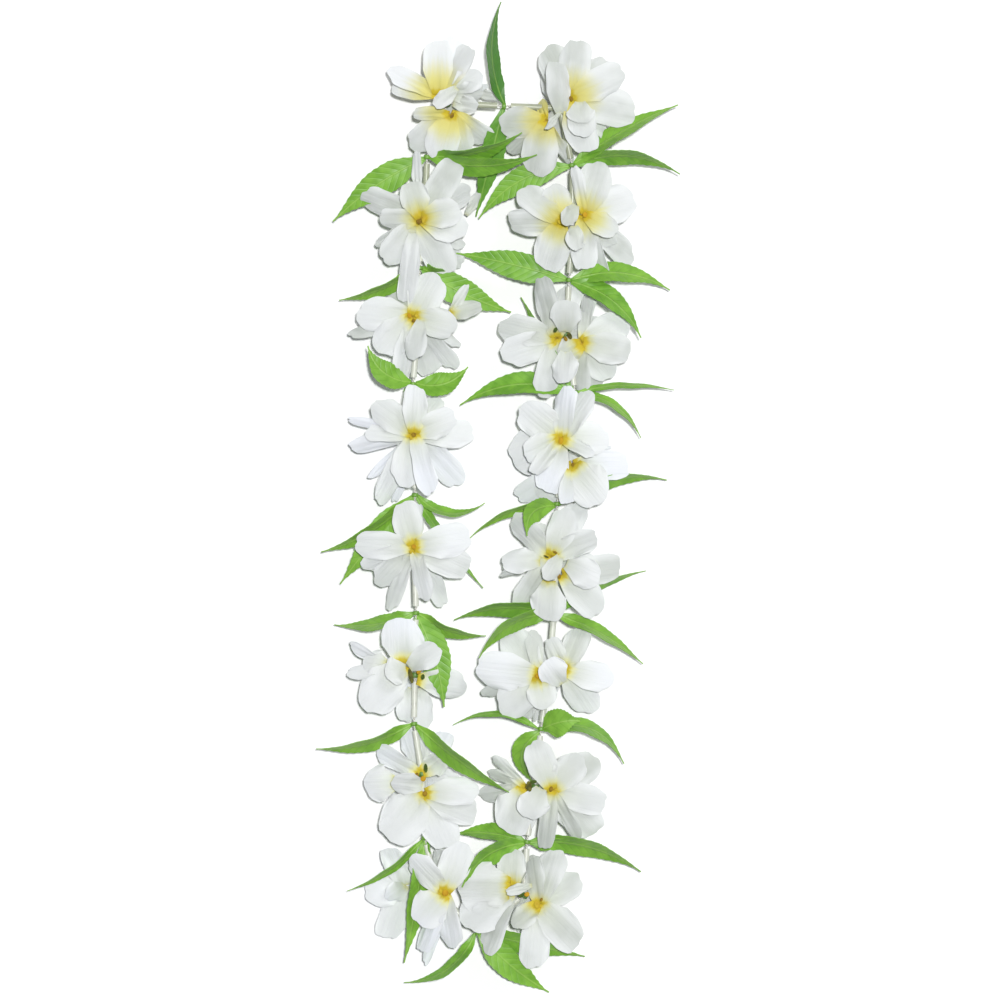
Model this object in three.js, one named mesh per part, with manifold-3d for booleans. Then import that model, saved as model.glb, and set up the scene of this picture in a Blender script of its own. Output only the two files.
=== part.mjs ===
import * as THREE from 'three';
import { mergeVertices } from 'three/addons/utils/BufferGeometryUtils.js';
import Module from 'manifold-3d';

// Fabric flower lei, laid flat as a long narrow loop. Millimetres, +Z up, +Y towards its top.
// Sixteen flower clusters and sixteen leaf whorls alternate on one string, with a straw between
// each two. Places along the surface are read in pixels of the photograph; heights and
// thicknesses are millimetres.

// Driving dimensions
const PIXEL = 0.55; // millimetres on the object for one pixel of the photograph
const MIDDLE = { x: 498, y: 498 }; // pixel over the middle of the loop
const STRING_HEIGHT = 20;
const STRING_RADIUS = 0.5;
const STRING_SIDES = 6;
const STRAW_OUTER_RADIUS = 1.7;
const STRAW_INNER_RADIUS = 1.3;
const STRAW_SIDES = 6;
const STRAW_STANDOFF = 3.7; // from the middle of a calyx or collar to the end of a straw
const BORE_CLEARANCE = 0.4; // around the string
const GAP = 0.35; // between neighbouring pieces
const CALYX_RADIUS = 3.4;
const COLLAR_RADIUS = 3.2;
const THROAT_RADIUS = 3;
const THROAT_STEM_RADIUS = 1.8;
const THROAT_SINK = 1; // of a throat's rim below the middle of its blossom
const THROAT_SIDES = 6;
const BALL_SEGMENTS = 6; // of a calyx or collar
const BALL_RINGS = 4;
const PETAL_THICKNESS = 0.9;
const LEAF_THICKNESS = 0.8;
const PETAL_BOW = 3.5; // how far a petal arches above the line from its base to its tip
const LEAF_BOW = 3;
const PETAL_FOOT_REACH = 1.2; // from the middle of the throat to where a petal starts
const PETAL_FOOT_STEP = 1.15; // from one petal of a blossom to the next one below
const LEAF_FOOT_REACH = 2; // from the middle of the collar to where a leaf starts
const UNDER_REACH = 0.72; // of the petal that covers it, for a petal on the underside
const UNDER_WIDTH = 0.85;
const UNDER_COUNT = 4;
const UNDER_FOOT_REACH = 1.5;
const UNDER_FOOT_DROP = 1;
const FINEST_DETAIL = 0.12; // facets smaller than this are smoothed away

// Width of a petal and of a leaf along its length, as a share of the widest place
const PETAL_OUTLINE = [0.3, 1, 0.4];
const LEAF_OUTLINE = [0.34, 1, 0.8, 0.1];

// A throat is [x, y, height]. A petal is [tip x, tip y, width, tip height], and one that doesn't
// start in the throat adds [base x, base y, base height]. x, y and width are pixels.
const FLOWERS = {
  left_1: {
    hub: [447, 103],
    blossoms: [
      {
        throat: [438, 95, 28],
        petals: [
          [384, 76, 19, 20], [391, 89, 18, 16], [445, 38, 32, 23], [470, 42, 28, 13],
          [479, 72, 28, 27], [482, 100, 18, 24],
        ],
      },
      {
        throat: [451, 114, 27],
        petals: [
          [410, 148, 28, 21], [441, 159, 30, 12], [489, 140, 28, 16],
        ],
      },
    ],
  },
  left_2: {
    hub: [425, 217],
    blossoms: [
      {
        throat: [421, 219, 29],
        petals: [
          [410, 182, 27, 29], [361, 195, 24, 19], [380, 221, 20, 24], [384, 262, 26, 20],
          [461, 209, 28, 33], [467, 232, 30, 26], [447, 274, 30, 21], [459, 268, 18, 6],
          [457, 160, 27, 25], [406, 303, 18, 26, [413, 232, 27]],
        ],
      },
    ],
  },
  left_3: {
    hub: [418, 325],
    blossoms: [
      {
        throat: [413, 317, 28],
        petals: [
          [357, 312, 33, 22], [437, 274, 34, 25], [457, 328, 28, 28], [379, 353, 34, 23],
          [401, 379, 20, 20], [432, 374, 30, 10], [409, 364, 19, 33, [421, 320, 30]],
        ],
      },
      {
        throat: [449, 315, 20],
        petals: [
          [481, 304, 18, 20],
        ],
      },
    ],
  },
  left_4: {
    hub: [414, 437],
    blossoms: [
      {
        throat: [414, 434, 28],
        petals: [
          [418, 386, 25, 28], [373, 408, 24, 25], [456, 417, 26, 27], [366, 430, 22, 22],
          [351, 447, 18, 16], [403, 487, 30, 25], [432, 494, 20, 28], [473, 437, 24, 17],
          [459, 486, 20, 11],
        ],
      },
    ],
  },
  left_5: {
    hub: [414, 548],
    blossoms: [
      {
        throat: [414, 546, 28],
        petals: [
          [354, 548, 28, 24], [402, 502, 28, 25], [471, 537, 32, 26], [469, 568, 30, 24],
          [428, 602, 19, 20], [446, 607, 18, 9], [363, 569, 22, 18], [387, 610, 22, 14],
        ],
      },
    ],
  },
  left_6: {
    hub: [415, 675],
    blossoms: [
      {
        throat: [404, 664, 28],
        petals: [
          [401, 617, 40, 27], [350, 647, 18, 18], [347, 673, 22, 20], [363, 707, 38, 22],
          [384, 670, 24, 32], [439, 646, 22, 36, [409, 667, 29]],
        ],
      },
      {
        throat: [417, 679, 25],
        petals: [
          [407, 722, 24, 15], [426, 729, 22, 15], [467, 687, 28, 7],
        ],
      },
    ],
  },
  left_7: {
    hub: [422, 774],
    blossoms: [
      {
        throat: [425, 793, 28],
        petals: [
          [479, 789, 26, 25], [477, 815, 30, 23], [448, 848, 34, 22], [388, 840, 40, 23],
          [391, 782, 22, 33, [423, 785, 29]],
        ],
      },
      {
        throat: [420, 774, 24],
        petals: [
          [365, 783, 34, 20], [376, 750, 18, 15], [405, 729, 18, 12], [427, 733, 18, 10],
          [446, 732, 24, 7], [445, 757, 20, 14],
        ],
      },
    ],
  },
  left_8: {
    hub: [437, 892],
    blossoms: [
      {
        throat: [445, 892, 28],
        petals: [
          [411, 856, 22, 26], [463, 842, 30, 27], [416, 922, 36, 24], [436, 938, 26, 12],
          [453, 948, 20, 20],
        ],
      },
      {
        throat: [406, 886, 12],
        petals: [
          [388, 848, 22, 11], [367, 893, 28, 10], [387, 900, 20, 14], [385, 934, 26, 7],
        ],
      },
    ],
  },
  right_1: {
    hub: [560, 108],
    blossoms: [
      {
        throat: [571, 98, 28],
        petals: [
          [547, 46, 32, 22], [577, 40, 30, 24], [605, 58, 24, 14], [624, 72, 30, 26],
          [636, 112, 36, 24], [586, 153, 30, 26], [580, 136, 30, 36, [583, 103, 30]],
          [557, 62, 22, 32, [561, 114, 28]],
        ],
      },
      {
        throat: [546, 121, 26],
        petals: [
          [499, 124, 30, 21], [510, 153, 22, 14], [535, 176, 34, 22],
        ],
      },
    ],
  },
  right_2: {
    hub: [573, 220],
    blossoms: [
      {
        throat: [561, 222, 26],
        petals: [
          [521, 188, 26, 24], [553, 184, 28, 22], [509, 223, 26, 22], [545, 270, 34, 24],
          [577, 251, 18, 36, [574, 226, 30]],
        ],
      },
      {
        throat: [584, 215, 26],
        petals: [
          [601, 162, 32, 24], [635, 198, 36, 23], [618, 232, 20, 28], [612, 246, 18, 21],
          [634, 260, 24, 10], [584, 270, 26, 24],
        ],
      },
    ],
  },
  right_3: {
    hub: [566, 335],
    blossoms: [
      {
        throat: [556, 338, 26],
        petals: [
          [499, 325, 28, 22], [502, 357, 30, 22], [540, 277, 22, 24], [545, 398, 26, 22],
          [573, 281, 26, 15], [567, 300, 30, 35, [565, 332, 28]],
          [563, 384, 24, 33, [566, 350, 28]],
        ],
      },
      {
        throat: [582, 343, 25],
        petals: [
          [628, 320, 30, 17], [631, 352, 30, 22], [612, 378, 28, 15], [601, 385, 20, 8],
        ],
      },
    ],
  },
  right_4: {
    hub: [566, 448],
    blossoms: [
      {
        throat: [561, 439, 28],
        petals: [
          [521, 406, 34, 24], [566, 386, 20, 26], [591, 391, 22, 25], [609, 437, 32, 24],
          [524, 460, 28, 27], [511, 455, 40, 12], [545, 491, 30, 22],
        ],
      },
      {
        throat: [573, 465, 24],
        petals: [
          [629, 465, 28, 16], [603, 502, 42, 22], [540, 500, 26, 11],
        ],
      },
    ],
  },
  right_5: {
    hub: [556, 560],
    blossoms: [
      {
        throat: [551, 556, 25],
        petals: [
          [512, 517, 24, 20], [538, 524, 28, 15], [568, 509, 28, 24], [580, 502, 28, 12],
          [592, 531, 22, 19], [498, 577, 22, 22], [517, 611, 22, 15],
        ],
      },
      {
        throat: [562, 574, 26],
        petals: [
          [622, 566, 28, 14], [601, 611, 32, 22], [553, 622, 36, 26],
          [600, 580, 28, 33, [566, 564, 27]],
        ],
      },
    ],
  },
  right_6: {
    hub: [549, 672],
    blossoms: [
      {
        throat: [538, 675, 27],
        petals: [
          [507, 633, 34, 18], [476, 668, 36, 24], [500, 712, 36, 23], [522, 717, 18, 14],
          [545, 709, 28, 29],
        ],
      },
      {
        throat: [564, 670, 24],
        petals: [
          [583, 627, 22, 18], [614, 680, 28, 22], [593, 713, 28, 10],
          [545, 660, 28, 36, [562, 684, 28]],
        ],
      },
    ],
  },
  right_7: {
    hub: [535, 787],
    blossoms: [
      {
        throat: [552, 790, 27],
        petals: [
          [534, 741, 28, 23], [570, 756, 26, 25], [594, 750, 28, 19], [607, 803, 22, 17],
          [594, 837, 36, 22], [527, 818, 30, 30, [541, 788, 28]],
        ],
      },
      {
        throat: [526, 788, 21],
        petals: [
          [507, 833, 42, 22],
        ],
      },
    ],
  },
  right_8: {
    hub: [524, 895],
    blossoms: [
      {
        throat: [511, 887, 25],
        petals: [
          [512, 848, 26, 22], [459, 896, 48, 24], [489, 953, 20, 13],
        ],
      },
      {
        throat: [538, 904, 26],
        petals: [
          [557, 849, 26, 23], [580, 871, 26, 18], [579, 945, 34, 22], [533, 969, 28, 20],
          [513, 931, 24, 29],
        ],
      },
    ],
  },
};

// A leaf is [tip x, tip y, width, tip height, sway], where sway is how far its middle bends to
// the left hand of one who looks from its base to its tip. All but the height are pixels.
const LEAVES = {
  top: { hub: [504, 106], blades: [[501, 2, 14, 24, 11], [479, 203, 16, 5, 0]] },
  left_1: {
    hub: [427, 157],
    blades: [[332, 219, 26, 12, -14], [527, 129, 17, 33, -4], [538, 153, 19, 29, -9]],
  },
  left_2: {
    hub: [420, 268],
    blades: [[450, 275, 10, 14, 0], [340, 300, 14, 12, 0], [510, 312, 30, 10, -8]],
  },
  left_3: {
    hub: [413, 384],
    blades: [[368, 346, 26, 28, 10], [468, 367, 24, 22, -9], [404, 406, 8, 17, 0]],
  },
  left_4: {
    hub: [415, 495],
    blades: [
      [321, 552, 18, 14, 0], [340, 584, 22, 8, 0], [485, 503, 9, 18, -12], [483, 588, 9, 9, -3],
    ],
  },
  left_5: {
    hub: [416, 613],
    blades: [[334, 625, 15, 18, 5], [486, 636, 10, 16, -6], [444, 707, 32, 17, 7]],
  },
  left_6: { hub: [414, 724], blades: [[316, 749, 15, 16, 7], [509, 792, 17, 28, -5]] },
  left_7: {
    hub: [425, 838],
    blades: [[347, 891, 11, 22, 6], [404, 963, 20, 15, 0], [428, 861, 8, 13, 0]],
  },
  bottom: {
    hub: [477, 932],
    blades: [[405, 982, 11, 12, 7], [549, 993, 34, 5, 0], [585, 957, 22, 8, 0]],
  },
  right_1: {
    hub: [572, 165],
    blades: [[484, 221, 24, 11, -10], [678, 105, 17, 20, 0], [680, 174, 16, 16, 11]],
  },
  right_2: {
    hub: [569, 280],
    blades: [[456, 253, 30, 11, 0], [670, 290, 22, 12, 10], [641, 338, 22, 22, 11]],
  },
  right_3: {
    hub: [575, 392],
    blades: [
      [460, 405, 22, 12, -13], [521, 297, 12, 7, 0], [673, 390, 8, 14, 4],
      [641, 438, 10, 14, 8],
    ],
  },
  right_4: {
    hub: [557, 504],
    blades: [[470, 538, 9, 18, -7], [527, 536, 24, 30, -8], [668, 479, 14, 14, 6]],
  },
  right_5: {
    hub: [554, 613],
    blades: [
      [454, 620, 12, 16, -8], [479, 658, 18, 26, -9], [643, 664, 16, 14, 8],
      [646, 571, 8, 11, 6],
    ],
  },
  right_6: {
    hub: [541, 729],
    blades: [
      [453, 725, 8, 18, -13], [624, 764, 16, 14, 16], [581, 722, 30, 27, 0],
      [534, 782, 24, 14, -20],
    ],
  },
  right_7: {
    hub: [527, 842],
    blades: [
      [456, 835, 14, 11, -5], [462, 887, 20, 28, -10], [641, 872, 18, 12, 9],
      [602, 845, 14, 7, 0],
    ],
  },
};

// Order on the string, clockwise from the top. A true third value leaves a hidden straw out
// between that piece and the next.
const ORDER = [
  ['leaves', 'top', true], ['flower', 'right_1'], ['leaves', 'right_1'], ['flower', 'right_2'],
  ['leaves', 'right_2'], ['flower', 'right_3'], ['leaves', 'right_3', true],
  ['flower', 'right_4'], ['leaves', 'right_4'], ['flower', 'right_5'], ['leaves', 'right_5'],
  ['flower', 'right_6'], ['leaves', 'right_6'], ['flower', 'right_7', true],
  ['leaves', 'right_7'], ['flower', 'right_8', true], ['leaves', 'bottom', true],
  ['flower', 'left_8'], ['leaves', 'left_7'], ['flower', 'left_7'], ['leaves', 'left_6'],
  ['flower', 'left_6'], ['leaves', 'left_5'], ['flower', 'left_5'], ['leaves', 'left_4'],
  ['flower', 'left_4'], ['leaves', 'left_3'], ['flower', 'left_3'], ['leaves', 'left_2'],
  ['flower', 'left_2'], ['leaves', 'left_1'], ['flower', 'left_1'],
];

const MATERIALS = {
  flower: { color: 0xf1f3ee, roughness: 0.7, metalness: 0 },
  leaves: { color: 0x74ad3c, roughness: 0.55, metalness: 0 },
  straw: { color: 0xe2e3d0, roughness: 0.35, metalness: 0 },
  string: { color: 0xf2f0e8, roughness: 0.9, metalness: 0 },
};

const UP = new THREE.Vector3(0, 0, 1);
const wasm = await Module();
wasm.setup();

// Point of the object under a pixel of the photograph, at a height
function at(x, y, height) {
  return new THREE.Vector3((x - MIDDLE.x) * PIXEL, (MIDDLE.y - y) * PIXEL, height);
}

function toSolid(source) {
  const bare = source.index ? source : source.clone();
  bare.deleteAttribute('normal');
  bare.deleteAttribute('uv');
  const merged = mergeVertices(bare, 1e-4);
  return new wasm.Manifold(
    new wasm.Mesh({
      numProp: 3,
      vertProperties: new Float32Array(merged.attributes.position.array),
      triVerts: new Uint32Array(merged.index.array),
    }),
  );
}

function toGeometry(solid) {
  const mesh = solid.getMesh();
  const geometry = new THREE.BufferGeometry();
  geometry.setAttribute('position', new THREE.BufferAttribute(mesh.vertProperties, 3));
  geometry.setIndex(new THREE.BufferAttribute(mesh.triVerts, 1));
  geometry.computeVertexNormals();
  return geometry;
}

function join(solids) {
  return solids.reduce((sum, next) => sum.add(next));
}

// The body with the most material; offcuts that a neighbour has parted from it are dropped
function mainBody(solid) {
  const bodies = solid.decompose();
  return bodies.reduce((best, body) => (body.volume() > best.volume() ? body : best));
}

// A thin blade along an arched centre line. grow makes it larger all round.
function blade({ base, middle, tip, width, outline, thickness, grow }) {
  const line = new THREE.QuadraticBezierCurve3(base, middle, tip);
  const steps = outline.length - 1;
  const box = new THREE.BoxGeometry(1, 1, 1, steps, 1, 1);
  const position = box.attributes.position;
  for (let i = 0; i < position.count; i += 1) {
    const station = Math.round((position.getX(i) + 0.5) * steps);
    const along = station / steps;
    const tangent = line.getTangent(along);
    const across = new THREE.Vector3().crossVectors(UP, tangent).normalize();
    const normal = new THREE.Vector3().crossVectors(tangent, across);
    const reach = station === 0 ? -grow : grow * (station === steps ? 1 : 0);
    const place = line
      .getPoint(along)
      .addScaledVector(tangent, reach)
      .addScaledVector(across, position.getY(i) * (width * outline[station] + 2 * grow))
      .addScaledVector(normal, position.getZ(i) * (thickness + 2 * grow));
    position.setXYZ(i, place.x, place.y, place.z);
  }
  return toSolid(box);
}

// A point a little way out from the middle of a piece, towards a tip
function outwards(middle, tip, reach) {
  const direction = tip.clone().sub(middle).setZ(0).normalize();
  return middle.clone().addScaledVector(direction, reach);
}

function petal(foot, [x, y, width, height, ownBase], grow) {
  const tip = at(x, y, height);
  const base = ownBase ? at(...ownBase) : outwards(foot, tip, PETAL_FOOT_REACH);
  const middle = base.clone().lerp(tip, 0.5).addScaledVector(UP, 2 * PETAL_BOW);
  return blade({
    base,
    middle,
    tip,
    width: width * PIXEL,
    outline: PETAL_OUTLINE,
    thickness: PETAL_THICKNESS,
    grow,
  });
}

// A petal of the blossom underneath, which drops from the calyx and lies along the surface
function underPetal(hub, [x, y, width], grow) {
  const tip = hub.clone().lerp(at(x, y, 0), UNDER_REACH).setZ(0.2);
  const middle = hub.clone().lerp(tip, 0.45).setZ(-2);
  return blade({
    base: outwards(hub, tip, UNDER_FOOT_REACH).setZ(hub.z - UNDER_FOOT_DROP),
    middle,
    tip,
    width: width * UNDER_WIDTH * PIXEL,
    outline: PETAL_OUTLINE,
    thickness: PETAL_THICKNESS,
    grow,
  });
}

// The short funnel from the calyx to the middle of a blossom
function throat(hub, end, grow) {
  const length = hub.distanceTo(end) + 2 * grow;
  const cone = new THREE.CylinderGeometry(
    THROAT_RADIUS + grow, THROAT_STEM_RADIUS + grow, length, THROAT_SIDES, 1,
  );
  const direction = end.clone().sub(hub).normalize();
  cone.applyQuaternion(new THREE.Quaternion().setFromUnitVectors(THREE.Object3D.DEFAULT_UP, direction));
  const centre = hub.clone().lerp(end, 0.5);
  cone.translate(centre.x, centre.y, centre.z);
  return toSolid(cone);
}

function ball(centre, radius) {
  const sphere = new THREE.SphereGeometry(radius, BALL_SEGMENTS, BALL_RINGS);
  sphere.translate(centre.x, centre.y, centre.z);
  return toSolid(sphere);
}

// The petals of a blossom stand in a row down its throat, the highest tip first.
function blossom(hub, { throat: [x, y, height], petals }, grow) {
  const centre = at(x, y, height);
  const down = hub.clone().sub(centre).normalize();
  const step = Math.min(PETAL_FOOT_STEP, centre.distanceTo(hub) / petals.length);
  const highestFirst = petals.toSorted((one, other) => other[3] - one[3]);
  return [
    throat(hub, centre.clone().addScaledVector(down, THROAT_SINK), grow),
    ...highestFirst.map((row, i) => petal(centre.clone().addScaledVector(down, step * i), row, grow)),
  ];
}

function flower({ hub: [hubX, hubY], blossoms }, grow) {
  const hub = at(hubX, hubY, STRING_HEIGHT);
  const widest = blossoms
    .flatMap(({ petals }) => petals)
    .sort((one, other) => other[2] - one[2])
    .slice(0, UNDER_COUNT);
  return join([
    ball(hub, CALYX_RADIUS + grow),
    ...blossoms.flatMap((rows) => blossom(hub, rows, grow)),
    ...widest.map((row) => underPetal(hub, row, grow)),
  ]);
}

function leaf(hub, [x, y, width, height, sway], grow) {
  const tip = at(x, y, height);
  const leftHand = new THREE.Vector3().crossVectors(UP, tip.clone().sub(hub)).normalize();
  const middle = hub
    .clone()
    .lerp(tip, 0.5)
    .addScaledVector(leftHand, 2 * sway * PIXEL)
    .addScaledVector(UP, 2 * LEAF_BOW);
  return blade({
    base: outwards(hub, tip, LEAF_FOOT_REACH),
    middle,
    tip,
    width: width * PIXEL,
    outline: LEAF_OUTLINE,
    thickness: LEAF_THICKNESS,
    grow,
  });
}

function whorl({ hub: [hubX, hubY], blades }, grow) {
  const hub = at(hubX, hubY, STRING_HEIGHT);
  const solids = blades.map((row) => leaf(hub, row, grow));
  return join([ball(hub, COLLAR_RADIUS + grow), ...solids]);
}

// The string is a closed loop of straight stretches, mitred where it turns at each piece.
function stringLoop(stops, radius) {
  const position = [];
  const index = [];
  stops.forEach((stop, i) => {
    const before = stops[(i + stops.length - 1) % stops.length];
    const after = stops[(i + 1) % stops.length];
    const arriving = stop.clone().sub(before).normalize();
    const leaving = after.clone().sub(stop).normalize();
    const halfTurn = arriving.angleTo(leaving) / 2;
    const heading = arriving.add(leaving).normalize();
    const side = new THREE.Vector3().crossVectors(heading, UP).normalize();
    for (let j = 0; j < STRING_SIDES; j += 1) {
      const angle = (2 * Math.PI * j) / STRING_SIDES;
      const corner = stop
        .clone()
        .addScaledVector(side, (Math.cos(angle) * radius) / Math.cos(halfTurn))
        .addScaledVector(UP, Math.sin(angle) * radius);
      position.push(corner.x, corner.y, corner.z);
      const here = i * STRING_SIDES;
      const there = ((i + 1) % stops.length) * STRING_SIDES;
      const next = (j + 1) % STRING_SIDES;
      index.push(here + j, there + j, there + next, here + j, there + next, here + next);
    }
  });
  const geometry = new THREE.BufferGeometry();
  geometry.setAttribute('position', new THREE.Float32BufferAttribute(position, 3));
  geometry.setIndex(index);
  return toSolid(geometry);
}

// A straw is a short tube on the string. With grow it is a plug that keeps others clear of it.
function straw(from, to, grow) {
  const half = from.distanceTo(to) / 2 - STRAW_STANDOFF + grow;
  const outer = STRAW_OUTER_RADIUS + grow;
  const profile = grow
    ? [[0, -half], [outer, -half], [outer, half], [0, half]]
    : [
        [STRAW_INNER_RADIUS, -half], [outer, -half], [outer, half],
        [STRAW_INNER_RADIUS, half], [STRAW_INNER_RADIUS, -half],
      ];
  const tube = new THREE.LatheGeometry(
    profile.map(([radius, height]) => new THREE.Vector2(radius, height)), STRAW_SIDES,
  );
  const direction = to.clone().sub(from).normalize();
  tube.applyQuaternion(new THREE.Quaternion().setFromUnitVectors(THREE.Object3D.DEFAULT_UP, direction));
  const centre = from.clone().lerp(to, 0.5);
  tube.translate(centre.x, centre.y, centre.z);
  return toSolid(tube);
}

// What lies below the surface is cut off, which leaves small flats to rest on.
const ground = new THREE.BoxGeometry(2000, 2000, 100).translate(0, 0, -50);
const belowSurface = toSolid(ground);

const stops = ORDER.map(([kind, place]) => {
  const [x, y] = (kind === 'flower' ? FLOWERS : LEAVES)[place].hub;
  return at(x, y, STRING_HEIGHT);
});

const pieces = [{ name: 'string', kind: 'string', solid: stringLoop(stops, STRING_RADIUS) }];
const taken = [stringLoop(stops, STRING_RADIUS + BORE_CLEARANCE)];
let strawCount = 0;
ORDER.forEach(([, , hidden], i) => {
  if (hidden) {
    return;
  }
  const next = stops[(i + 1) % stops.length];
  strawCount += 1;
  const name = `straw_${String(strawCount).padStart(2, '0')}`;
  pieces.push({ name, kind: 'straw', solid: straw(stops[i], next, 0) });
  taken.push(straw(stops[i], next, GAP));
});

// Each whorl and then each cluster is trimmed clear of every piece that is already in place.
for (const turn of ['leaves', 'flower']) {
  for (const [kind, place] of ORDER) {
    if (kind === turn) {
      const make = kind === 'flower' ? flower : whorl;
      const source = (kind === 'flower' ? FLOWERS : LEAVES)[place];
      const trimmed = make(source, 0).subtract(join(taken)).subtract(belowSurface);
      const solid = mainBody(trimmed.asOriginal().simplify(FINEST_DETAIL));
      pieces.push({ name: `${kind}_${place}`, kind, solid });
      taken.push(make(source, GAP));
    }
  }
}

const lei = new THREE.Group();
for (const { name, kind, solid } of pieces) {
  const mesh = new THREE.Mesh(
    toGeometry(solid), new THREE.MeshStandardMaterial(MATERIALS[kind]),
  );
  mesh.name = name;
  lei.add(mesh);
}

export default lei;
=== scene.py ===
import bpy
import math
import random
from mathutils import Matrix, Vector


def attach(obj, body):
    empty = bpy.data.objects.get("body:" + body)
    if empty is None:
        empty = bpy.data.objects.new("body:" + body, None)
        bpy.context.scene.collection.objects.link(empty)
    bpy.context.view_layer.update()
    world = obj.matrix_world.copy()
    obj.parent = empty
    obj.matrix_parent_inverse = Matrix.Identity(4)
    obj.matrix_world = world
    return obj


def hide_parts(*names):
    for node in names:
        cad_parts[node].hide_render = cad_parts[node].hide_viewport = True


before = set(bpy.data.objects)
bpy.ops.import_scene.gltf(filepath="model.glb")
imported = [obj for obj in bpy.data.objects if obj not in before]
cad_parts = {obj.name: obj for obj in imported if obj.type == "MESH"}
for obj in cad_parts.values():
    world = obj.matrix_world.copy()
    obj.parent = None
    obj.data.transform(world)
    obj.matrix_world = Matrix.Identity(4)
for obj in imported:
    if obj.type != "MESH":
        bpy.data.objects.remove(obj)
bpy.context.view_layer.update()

# The thread: one white twisted polyester thread, tied into a closed loop. Everything else is
# strung on it. It runs straight from each calyx to the next collar and turns inside them.
PIXEL = 0.00055  # metres on the lei for one pixel of the photograph
MIDDLE = (498, 498)  # pixel over the middle of the loop
STRING_HEIGHT = 20  # millimetres, from the table to the thread
THREAD_TWIST = 0.0016  # length of one turn of the twist
# What is on the thread, clockwise from the top, with the pixel of its middle
STOPS = [
    ("leaves_top", 504, 106), ("flower_right_1", 560, 108), ("leaves_right_1", 572, 165),
    ("flower_right_2", 573, 220), ("leaves_right_2", 569, 280), ("flower_right_3", 566, 335),
    ("leaves_right_3", 575, 392), ("flower_right_4", 566, 448), ("leaves_right_4", 557, 504),
    ("flower_right_5", 556, 560), ("leaves_right_5", 554, 613), ("flower_right_6", 549, 672),
    ("leaves_right_6", 541, 729), ("flower_right_7", 535, 787), ("leaves_right_7", 527, 842),
    ("flower_right_8", 524, 895), ("leaves_bottom", 477, 932), ("flower_left_8", 437, 892),
    ("leaves_left_7", 425, 838), ("flower_left_7", 422, 774), ("leaves_left_6", 414, 724),
    ("flower_left_6", 415, 675), ("leaves_left_5", 416, 613), ("flower_left_5", 414, 548),
    ("leaves_left_4", 415, 495), ("flower_left_4", 414, 437), ("leaves_left_3", 413, 384),
    ("flower_left_3", 418, 325), ("leaves_left_2", 420, 268), ("flower_left_2", 425, 217),
    ("leaves_left_1", 427, 157), ("flower_left_1", 447, 103),
]


def at(x, y, height):
    """Point of the lei under a pixel of the photograph. The height is in millimetres."""
    return Vector(((x - MIDDLE[0]) * PIXEL, (MIDDLE[1] - y) * PIXEL, height / 1000))


class Wire:
    """A shader socket that can stand in a sum or product, which adds a Math node."""

    def __init__(self, socket):
        self.socket = socket

    def _math(self, operation, one, two):
        node = self.socket.id_data.nodes.new("ShaderNodeMath")
        node.operation = operation
        feed(node.inputs[0], one)
        feed(node.inputs[1], two)
        return Wire(node.outputs[0])

    def __add__(self, other):
        return self._math("ADD", self, other)

    def __radd__(self, other):
        return self._math("ADD", other, self)

    def __sub__(self, other):
        return self._math("SUBTRACT", self, other)

    def __rsub__(self, other):
        return self._math("SUBTRACT", other, self)

    def __mul__(self, other):
        return self._math("MULTIPLY", self, other)

    def __rmul__(self, other):
        return self._math("MULTIPLY", other, self)


def socket_name(key):
    """The name that Blender shows for a socket: specular_ior_level is Specular IOR Level."""
    return key.replace("_", " ").title().replace("Ior", "IOR")


def feed(socket, value):
    """Links a wire to a socket, or sets the socket to a value."""
    if isinstance(value, Wire):
        socket.id_data.links.new(value.socket, socket)
    elif isinstance(value, tuple) and len(value) == 3 and len(socket.default_value) == 4:
        socket.default_value = (*value, 1)
    else:
        socket.default_value = value


class Finish:
    """A material with its Principled shader, and one way to add any node that isn't maths."""

    def __init__(self, name, **constants):
        self.material = bpy.data.materials.new(name)
        self.material.use_nodes = True
        self.nodes = self.material.node_tree.nodes
        self.shader = self.nodes["Principled BSDF"]
        for key, value in constants.items():
            feed(self.shader.inputs[socket_name(key)], value)

    def node(self, kind, settings=None, output=0, **sockets):
        """An input is given by its name, or by i and its number."""
        node = self.nodes.new("ShaderNode" + kind)
        for key, value in (settings or {}).items():
            setattr(node, key, value)
        for key, value in sockets.items():
            place = int(key[1:]) if key[1:].isdigit() else socket_name(key)
            feed(node.inputs[place], value)
        return Wire(node.outputs[output])

    def object_place(self):
        return self.node("TexCoord", output=3)

    def split(self, vector):
        first = self.node("SeparateXYZ", i0=vector)
        return [Wire(socket) for socket in first.socket.node.outputs]

    def size_of(self, value):
        return self.node("Math", {"operation": "ABSOLUTE"}, i0=value)

    def mix(self, factor, one, two):
        return self.node("Mix", {"data_type": "RGBA"}, output=2, i0=factor, i6=one, i7=two)

    def ramp(self, value, low, ply_ridge_light, at_low=0.0, at_high=1.0):
        """A smooth step of a value from at_low to at_high as it goes from low to high."""
        settings = {"interpolation_type": "SMOOTHSTEP"}
        return self.node("MapRange", settings, i0=value, i1=low, i2=ply_ridge_light, i3=at_low, i4=at_high)

    def noise(self, vector, scale, detail=3.0, roughness=0.5):
        return self.node("TexNoise", i0=vector, i2=scale, i3=detail, i4=roughness)

    def colour(self, value):
        feed(self.shader.inputs["Base Color"], value)

    def rough(self, value):
        feed(self.shader.inputs["Roughness"], value)

    def bump(self, height, distance, strength=1.0):
        normal = self.node("Bump", strength=strength, distance=distance, height=height)
        feed(self.shader.inputs["Normal"], normal)


def put_on(piece, finish):
    piece.data.materials.clear()
    piece.data.materials.append(finish.material)


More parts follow.
